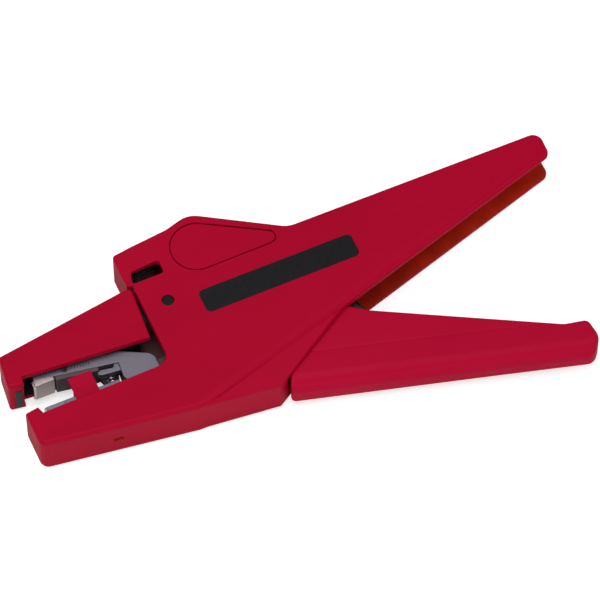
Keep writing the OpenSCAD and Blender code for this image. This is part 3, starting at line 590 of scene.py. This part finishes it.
def paint_inner_light_and_shade(piece, finish, open_way=None):
    """Gives the faces between the two outer walls a second material, which paints the light and
    shade
    inside the shell: those whose lowest and highest corners both lie further from the piece's own
    lowest and highest z than the walls are thick. With a way in which the shell is open, only
    faces that look along it or along z are taken."""
    mesh = piece.data
    mesh.materials.append(material_for(finish))
    z = points_of(mesh)[:, 2]
    corners = np.empty(len(mesh.loops), int)
    mesh.loops.foreach_get("vertex_index", corners)
    starts = np.empty(len(mesh.polygons), int)
    mesh.polygons.foreach_get("loop_start", starts)
    low = np.minimum.reduceat(z[corners], starts)
    high = np.maximum.reduceat(z[corners], starts)
    inner = (low > z.min() + SIDE_WALL * MM) & (high < z.max() - SIDE_WALL * MM)
    if open_way is not None:
        normals = np.empty(3 * len(mesh.polygons))
        mesh.polygons.foreach_get("normal", normals)
        normals = normals.reshape(-1, 3)
        inner &= (normals @ np.array(open_way) > 0.5) | (np.abs(normals[:, 2]) > 0.9)
    mesh.polygons.foreach_set("material_index", inner.astype(int))


def ring_inset(ring, distance):
    """A closed ring of XY points moved inwards: each point goes along the mean of its two edge
    normals, lengthened so that both edges move by the distance."""
    before = ring - np.roll(ring, 1, axis=0)
    after = np.roll(ring, -1, axis=0) - ring
    before /= np.linalg.norm(before, axis=1, keepdims=True)
    after /= np.linalg.norm(after, axis=1, keepdims=True)
    normal = np.stack([-(before + after)[:, 1], (before + after)[:, 0]], axis=1)
    return ring + distance * normal / (1 + (before * after).sum(1, keepdims=True))


def stacked_rows(rows, count):
    """Faces of rows of points stacked in one array: walls between neighbouring rows, each row
    closed on itself, and a face over the first row, turned round, and over the last."""
    i, row = np.meshgrid(np.arange(count), np.arange(rows - 1))
    a = (row * count + i).ravel()
    b = (row * count + (i + 1) % count).ravel()
    faces = [tuple(f) for f in np.column_stack([a, b, b + count, a + count])]
    faces.append(tuple(range(count - 1, -1, -1)))
    faces.append(tuple(range((rows - 1) * count, rows * count)))
    return faces


def rounded_plate(ring, low, high, edge, steps=4):
    """Plate over a ring: rows of the ring at rising heights, drawn in along a quarter circle at
    both edges, and closed by one face below and one above."""
    turns = np.linspace(0, pi / 2, steps + 1)
    rows = [(low + edge * (1 - cos(t)), edge * (1 - sin(t))) for t in turns]
    rows += [(high - edge * (1 - cos(t)), edge * (1 - sin(t))) for t in turns[::-1]]
    rings = [np.column_stack([ring_inset(ring, d), np.full(len(ring), z)]) for z, d in rows]
    return np.concatenate(rings), stacked_rows(len(rings), len(ring))


def tube(path, radius, sides=12):
    """Round wire along a path: a circle carried along it in a frame that turns as little as
    possible, closed by a face at both ends."""
    path = np.asarray(path, float)
    tangent = np.gradient(path, axis=0)
    tangent /= np.linalg.norm(tangent, axis=1, keepdims=True)
    side = np.cross(tangent[0], (0.0, 0.3, 1.0))
    sides_at = []
    for t in tangent:
        side = side - t * (side @ t)
        side /= np.linalg.norm(side)
        sides_at.append(side)
    u = np.array(sides_at)
    v = np.cross(tangent, u)
    angle = np.linspace(0, 2 * pi, sides, endpoint=False)
    circle = np.cos(angle)[None, :, None] * u[:, None] + np.sin(angle)[None, :, None] * v[:, None]
    points = (path[:, None] + radius * circle).reshape(-1, 3)
    return points, stacked_rows(len(path), sides)


def teardrop_ring(big_at, big_r, tip_at, tip_r, steps=40):
    """Outline of a teardrop: arcs of a large and a small circle joined by their outer tangents."""
    big_at, tip_at = np.array(big_at), np.array(tip_at)
    way = tip_at - big_at
    lean = np.arctan2(way[1], way[0])
    open_angle = np.arccos((big_r - tip_r) / np.linalg.norm(way))
    around = np.linspace(lean + open_angle, lean + 2 * pi - open_angle, steps)
    tip = np.linspace(lean - open_angle, lean + open_angle, steps // 3)
    return np.vstack([
        big_at + big_r * np.column_stack([np.cos(around), np.sin(around)]),
        tip_at + tip_r * np.column_stack([np.cos(tip), np.sin(tip)]),
    ])


def circle_ring(radius, sides=40):
    """Outline of a circle about the origin."""
    angle = np.linspace(0, 2 * pi, sides, endpoint=False)
    return radius * np.column_stack([np.cos(angle), np.sin(angle)])


def rounded_box_ring(low, high, radius, steps=8):
    """Outline of a rectangle whose corners are quarter circles."""
    parts = []
    corners = [
        (high[0] - radius, low[1] + radius, -pi / 2), (high[0] - radius, high[1] - radius, 0),
        (low[0] + radius, high[1] - radius, pi / 2), (low[0] + radius, low[1] + radius, pi),
    ]
    for x, y, start in corners:
        angle = start + np.linspace(0, pi / 2, steps + 1)
        parts.append(np.column_stack([x + radius * np.cos(angle), y + radius * np.sin(angle)]))
    return np.vstack(parts)


def cornered_ring(corners, steps=8):
    """Outline through corners (x, y, radius). Each edge stops short of its corner by the radius
    times the tangent of half the turn, and an arc that touches both edges joins the two ends."""
    at = np.array([corner[:2] for corner in corners], float)
    parts = []
    for i, (_, _, radius) in enumerate(corners):
        way_in = at[i] - at[i - 1]
        way_out = at[(i + 1) % len(at)] - at[i]
        way_in, way_out = way_in / np.linalg.norm(way_in), way_out / np.linalg.norm(way_out)
        turn = np.arctan2(way_in[0] * way_out[1] - way_in[1] * way_out[0], way_in @ way_out)
        start = at[i] - way_in * radius * abs(np.tan(turn / 2))
        spoke = np.sign(turn) * radius * np.array((way_in[1], -way_in[0]))
        angle = turn * np.linspace(0, 1, steps + 1 if radius else 1)
        c, s = np.cos(angle), np.sin(angle)
        parts.append(start - spoke + np.column_stack([
            spoke[0] * c - spoke[1] * s, spoke[0] * s + spoke[1] * c
        ]))
    return np.vstack(parts)


def forked_bar(ring, bar_end, levels):
    """Solid bar that ends in two cheeks. The ring starts with the bar's outline, up to the point
    bar_end, and goes on round the eye. It is set at four levels: walls stand between all of them
    along the bar, and only between the lower two and the upper two along the eye, where the slot
    between the cheeks is closed by two faces and the end of the bar."""
    n = len(ring)
    last = int(np.argmin(np.abs(ring - bar_end).sum(axis=1)))
    points = np.concatenate([np.column_stack([ring, np.full(n, z)]) for z in levels])
    i = np.arange(n)
    faces = [tuple(i[::-1]), tuple(i + 3 * n)]
    for row in range(3):
        a = i if row != 1 else i[:last]
        walls = np.column_stack([a, (a + 1) % n, (a + 1) % n + n, a + n]) + row * n
        faces += [tuple(f) for f in walls]
    slot = np.append(i[last:], 0)
    faces += [tuple(slot + n), tuple(slot[::-1] + 2 * n)]
    faces.append((last + n, n, 2 * n, last + 2 * n))
    return points, faces


def scale_marks(count, pitch):
    """Marks of the length scale: flat boxes at even steps along the line of marks, across it."""
    start, finish = (np.array(point) for point in MARK_LINE)
    way = (finish - start) / np.linalg.norm(finish - start)
    across = np.array((-way[1], way[0]))
    points, faces = [], []
    for i in range(count):
        middle = start + way * i * pitch
        reach = LONG_MARK_REACH if i % MARKS_PER_LONG_ONE == 0 else MARK_REACH
        for side_x in (-MARK_HALF_WIDTH, MARK_HALF_WIDTH):
            for side_y in (-reach, reach):
                for z in MARK_LEVELS:
                    points.append([*(middle + way * side_x + across * side_y), z])
        # The corners of a box are numbered along the line, then across it, then upwards
        k = 8 * i
        faces += [
            (k + 1, k + 5, k + 7, k + 3), (k, k + 2, k + 6, k + 4), (k, k + 4, k + 5, k + 1),
            (k + 2, k + 3, k + 7, k + 6), (k, k + 1, k + 3, k + 2), (k + 4, k + 6, k + 7, k + 5),
        ]
    return points, faces


# Stage helpers


def make_floor(scene):
    """Pale matt floor, which glows a little for the camera alone."""
    mesh = bpy.data.meshes.new("floor")
    r = FLOOR_HALF_WIDTH
    mesh.from_pydata([(-r, -r, 0), (r, -r, 0), (r, r, 0), (-r, r, 0)], [], [(0, 1, 2, 3)])
    mesh.transform(Matrix.Translation((0, 0, -FLOOR_DROP)))
    floor = bpy.data.objects.new("floor", mesh)
    scene.collection.objects.link(floor)
    material, tree, surface, _ = new_material("floor_paper_matt")
    surface.inputs["Base Color"].default_value = (FLOOR_GREY, FLOOR_GREY, FLOOR_GREY, 1)
    surface.inputs["Roughness"].default_value = 0.9
    surface.inputs["Specular IOR Level"].default_value = 0.1
    light_path = add_node(tree, "ShaderNodeLightPath")
    glow = add_node(tree, "ShaderNodeEmission", {"Color": (1, 1, 1, 1), "Strength": FLOOR_GLOW})
    dark = add_node(tree, "ShaderNodeEmission", {"Color": (0, 0, 0, 1), "Strength": 0.0})
    seen = add_node(
        tree, "ShaderNodeMixShader", None,
        {0: (light_path, "Is Camera Ray"), 1: (dark, "Emission"), 2: (glow, "Emission")},
    )
    both = add_node(tree, "ShaderNodeAddShader", None, {0: (surface, "BSDF"), 1: (seen, "Shader")})
    output = next(n for n in tree.nodes if n.type == "OUTPUT_MATERIAL")
    tree.links.new(both.outputs["Shader"], output.inputs["Surface"])
    mesh.materials.append(material)


def make_world(scene):
    """Even fill light, seen by the camera as white."""
    world = bpy.data.worlds.new("studio")
    scene.world = world
    world.use_nodes = True
    tree = world.node_tree
    tree.nodes.clear()
    light_path = add_node(tree, "ShaderNodeLightPath")
    fill = add_node(tree, "ShaderNodeBackground", {"Color": (1, 1, 1, 1), "Strength": FILL_LIGHT})
    white = add_node(tree, "ShaderNodeBackground", {"Color": (1, 1, 1, 1), "Strength": 1.0})
    mixed = add_node(
        tree, "ShaderNodeMixShader", None,
        {0: (light_path, "Is Camera Ray"), 1: (fill, "Background"), 2: (white, "Background")},
    )
    add_node(tree, "ShaderNodeOutputWorld", None, {"Surface": (mixed, "Shader")})


def make_lamps(scene):
    """Soft round lamps, all turned to the middle of the tool."""
    aim = Vector(LAMP_AIM)
    for name, at, size, power in LAMPS:
        lamp = bpy.data.lights.new(name, "AREA")
        lamp.shape = "DISK"
        lamp.size = size
        lamp.energy = power
        lamp_object = bpy.data.objects.new(name, lamp)
        lamp_object.location = at
        lamp_object.rotation_euler = (aim - Vector(at)).to_track_quat("-Z", "Y").to_euler()
        scene.collection.objects.link(lamp_object)


def make_camera(scene):
    """Long camera at the photograph's angle."""
    back = Vector((
        sin(CAMERA_AZIMUTH) * cos(CAMERA_ELEVATION), -cos(CAMERA_AZIMUTH) * cos(CAMERA_ELEVATION),
        sin(CAMERA_ELEVATION),
    ))
    camera = bpy.data.cameras.new("camera")
    camera.sensor_width = SENSOR_MM
    camera.lens = SENSOR_MM * CAMERA_DISTANCE / VIEW_WIDTH
    camera.clip_end = 20
    eye = bpy.data.objects.new("camera", camera)
    eye.location = Vector(CAMERA_TARGET) + back * CAMERA_DISTANCE
    eye.rotation_euler = (-back).to_track_quat("-Z", "Y").to_euler()
    scene.collection.objects.link(eye)
    scene.camera = eye


# Operators


class STRIPPER_OT_stage(Operator):
    """Makes the pale floor, the soft lamps and the camera at the photograph's angle"""

    bl_idname = "stripper.stage"
    bl_label = "Stage"

    def execute(self, context):
        scene = context.scene
        scene.view_settings.view_transform = "Standard"
        make_floor(scene)
        make_world(scene)
        make_lamps(scene)
        make_camera(scene)
        return {"FINISHED"}


class STRIPPER_OT_shells(Operator):
    """Dresses the three large red mouldings"""

    bl_idname = "stripper.shells"
    bl_label = "Red shells"

    def execute(self, context):
        edge = context.scene.stripper_sizes.shell_edge
        cover = dressed("jaw_cover", "red", edge, COVER_CORNER)
        # Painted shade: the faces inside the cover get the black of the grip inserts, for the
        # shade in the nose
        paint_inner_light_and_shade(cover, "grip")
        body = dressed("body_shell", "red", edge)
        # Painted bounce light: the faces inside the body and the handle get the orange-brown red
        paint_inner_light_and_shade(body, "inside")
        # The handle's red is the brighter copy: painted light
        grip = dressed("handle_grip", "red_painted_light", edge)
        paint_inner_light_and_shade(grip, "inside", GRIP_OPEN_WAY)
        roll_side(grip, GRIP_SIDE, widths=(5.0, 5.0), falls=(5.0, 5.0))
        groove(grip, GRIP_LINE, width=1.0, fall=0.2)
        roll_side(body, BODY_SIDE, widths=(0.9, 4.2), falls=(0.9, 2.2))
        groove(body, BELLY_CREASE, width=1.5, fall=0.32)
        return {"FINISHED"}


class STRIPPER_OT_trim(Operator):
    """Makes the teardrop cap, the bare label, the jaw pin, the grip inserts and the pointer"""

    bl_idname = "stripper.trim"
    bl_label = "Cap, label and pointer"

    def execute(self, context):
        low, high = box_mm("teardrop_cap")
        points, faces = rounded_plate(teardrop_ring(*CAP), low[2], high[2], edge=0.22)
        cap = piece_from("teardrop_cap_piece", points, faces, "red", "root")
        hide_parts("teardrop_cap")
        soften(cap, 0)

        low, high = box_mm("label_plate")
        ring = rounded_box_ring(low[:2], high[:2], LABEL_CORNER)
        points, faces = rounded_plate(ring, low[2], high[2], edge=0.06, steps=3)
        label = piece_from("label_film", points, faces, "label", "root")
        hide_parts("label_plate")
        soften(label, 0)

        low, high = box_mm("jaw_pin")
        ring = circle_ring((high[0] - low[0]) / 2)
        points, faces = rounded_plate(ring, low[2], high[2], edge=0.25, steps=3)
        pin = piece_from("jaw_pin_piece", points, faces, "black_steel", "root")
        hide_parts("jaw_pin")
        soften(pin, 0)
        for node in ("lower_grip_pad", "upper_grip_pad"):
            dressed(node, "grip", PAD_EDGE)

        low, high = box_mm("scale_pointer")
        root = [(POINTER_TIP[-1][0], high[1], 0), (POINTER_TIP[0][0], high[1], 0)]
        ring = cornered_ring(POINTER_TIP + root)
        points, faces = rounded_plate(ring, low[2], high[2], edge=0.04, steps=2)
        pointer = piece_from("scale_pointer_piece", points, faces, "black_steel", "upper_jaw")
        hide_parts("scale_pointer")
        soften(pointer, 0)
        return {"FINISHED"}


class STRIPPER_OT_arms(Operator):
    """Dresses the two blade arms with their blocks and blades, the scale and the length stop"""

    bl_idname = "stripper.arms"
    bl_label = "Blade arms"

    def execute(self, context):
        sizes = context.scene.stripper_sizes
        edge = sizes.metal_edge
        points, faces = forked_bar(
            cornered_ring(ARM_BAR + ARM_EYE, steps=12), np.array(ARM_BAR[-1][:2]),
            (ARM_LOW, *ARM_SLOT, ARM_TOP),
        )
        arm = piece_from("upper_arm_piece", points, faces, "zinc", "upper_arm")
        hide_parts("upper_arm")
        soften(arm, edge * 2)
        for node in ("lower_arm", "latch_bar"):
            dressed(node, "zinc", edge * 2)
        dressed("upper_blade_block", "ground", edge)
        # Painted shade: the lower block gets the darker copy of the ground steel
        dressed("lower_blade_block", "ground_painted_shade", edge)
        for node in ("upper_blade", "lower_blade"):
            dressed(node, "blade", edge * 0.5)

        # The insert stands behind the block; its thin dark pocket closes the view behind the coil
        # as painted shade
        ring = cornered_ring(INSERT_BAR)
        points, faces = rounded_plate(ring, *INSERT_LEVELS, edge=0.1, steps=2)
        ring = cornered_ring(INSERT_POCKET)
        pocket, more = rounded_plate(ring, *POCKET_LEVELS, edge=0.1, steps=2)
        faces += [tuple(i + len(points) for i in face) for face in more]
        insert = piece_from(
            "arm_insert_piece", np.vstack([points, pocket]), faces, "insert", "upper_arm"
        )
        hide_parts("arm_insert")
        soften(insert, 0)
        # The stop's red is the brighter copy: painted light
        dressed("length_stop", "red_painted_light", STOP_EDGE)

        points, faces = scale_marks(sizes.ticks, sizes.tick_pitch / MM)
        marks = piece_from("scale_marks", points, faces, "marks", "upper_arm", smooth=False)
        return {"FINISHED"}


class STRIPPER_OT_springs(Operator):
    """Winds the small coil between the arms and the handle's return spring"""

    bl_idname = "stripper.springs"
    bl_label = "Springs"

    def execute(self, context):
        sizes = context.scene.stripper_sizes
        low, high = box_mm("arm_spring")
        wire = sizes.coil_wire / MM
        radius = (high[0] - low[0]) / 2 - wire
        angle = np.linspace(0, 2 * pi * COIL_TURNS, COIL_STEPS * COIL_TURNS + 1)
        rise = np.linspace(low[1] + wire, high[1] - wire, len(angle))
        middle = (low + high) / 2
        path = np.column_stack([
            middle[0] + radius * np.cos(angle), rise, MID_Z + radius * np.sin(angle)
        ])
        points, faces = tube(path, wire)
        coil = piece_from("arm_coil", points, faces, "wire", "lower_arm")
        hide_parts("arm_spring")
        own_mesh(coil)

        wire = sizes.return_wire / MM
        angle = np.linspace(0, 2 * pi * SPRING_TURNS, SPRING_POINTS) + pi / 2
        wound = np.column_stack([
            SPRING_PIVOT[0] + SPRING_RADIUS * np.cos(angle),
            SPRING_PIVOT[1] + SPRING_RADIUS * np.sin(angle),
            SPRING_FIRST_Z + SPRING_PITCH * (angle - pi / 2) / (2 * pi),
        ])
        points, faces = tube(np.vstack([[SPRING_BODY_LEG], wound, [SPRING_HANDLE_LEG]]), wire)
        # Painted shade: the return spring is black for the shade between the handles
        spring = piece_from("return_spring", points, faces, "black_steel", "root")
        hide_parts("handle_spring")
        return {"FINISHED"}


class STRIPPER_OT_mechanism(Operator):
    """Dresses the parts inside: carrier, roller, pull rod, handle cheeks, pins and cutter"""

    bl_idname = "stripper.mechanism"
    bl_label = "Mechanism"

    def execute(self, context):
        edge = context.scene.stripper_sizes.metal_edge
        # Painted shade: the carrier and the pull rod get the dark brown of the shade deep inside
        carrier = dressed("jaw_carrier", "zinc_painted_shade", edge * 2).data
        dressed("pull_rod", "zinc_painted_shade", edge * 2)
        places = points_of(carrier)
        in_tail = (places / MM < TAIL_LIMITS).all(axis=1)
        places[in_tail, 1] = TAIL_LOW_Y * MM
        set_points(carrier, places)
        # Painted shade: the upper faces seen through the slot get black steel
        carrier.materials.append(material_for("black_steel"))
        for face in carrier.polygons:
            if face.normal.z > 0.9 and face.center.z > CARRIER_SHADE_LEVEL * MM:
                face.material_index = 1

        pin = dressed("arm_pin", "pressed", edge).data
        places = points_of(pin)
        places[:, 2] = np.clip(places[:, 2], *(level * MM for level in ARM_PIN_REACH))
        set_points(pin, places)
        for node in (
            "jaw_roller", "handle_pin", "cutter_pin", "drive_pin", "cam_pin", "lever_rivets",
            "cutter_lever",
        ):
            dressed(node, "pressed", edge)
        # Painted shade: the handle's cheeks get a dark brown for the shade between the handles
        dressed("handle_lever", "cheeks_painted_shade", edge)
        # Painted shade: the cutter anvil's black stands for the shade in the cutter's window
        for node in ("roller_pin", "cutter_anvil"):
            dressed(node, "black_steel", edge)
        dressed("cutter_blade", "blade", edge * 0.5)
        return {"FINISHED"}


STEPS = (
    STRIPPER_OT_stage,
    STRIPPER_OT_shells,
    STRIPPER_OT_trim,
    STRIPPER_OT_arms,
    STRIPPER_OT_springs,
    STRIPPER_OT_mechanism,
)


class STRIPPER_PT_panel(Panel):
    """Sidebar panel with the steps in their order"""

    bl_idname = "STRIPPER_PT_panel"
    bl_label = "Wire stripper pliers"
    bl_space_type = "VIEW_3D"
    bl_region_type = "UI"
    bl_category = "Stripper"

    def draw(self, context):
        for group in (context.scene.stripper_sizes, context.scene.stripper_colours):
            for key in group.bl_rna.properties.keys():
                if key not in ("rna_type", "name"):
                    self.layout.prop(group, key)
        for step in STEPS:
            self.layout.operator(step.bl_idname)


CLASSES = (StripperSizes, StripperColours, *STEPS, STRIPPER_PT_panel)


def register():
    """Registers the classes and hangs the two property groups on the scene."""
    for cls in CLASSES:
        bpy.utils.register_class(cls)
    bpy.types.Scene.stripper_sizes = PointerProperty(type=StripperSizes)
    bpy.types.Scene.stripper_colours = PointerProperty(type=StripperColours)


def unregister():
    """Undoes register."""
    del bpy.types.Scene.stripper_colours
    del bpy.types.Scene.stripper_sizes
    for cls in reversed(CLASSES):
        bpy.utils.unregister_class(cls)


def main():
    """Makes everything in order."""
    register()
    bpy.ops.stripper.stage()
    bpy.ops.stripper.shells()
    bpy.ops.stripper.trim()
    bpy.ops.stripper.arms()
    bpy.ops.stripper.springs()
    bpy.ops.stripper.mechanism()


if __name__ == "__main__":
    main()
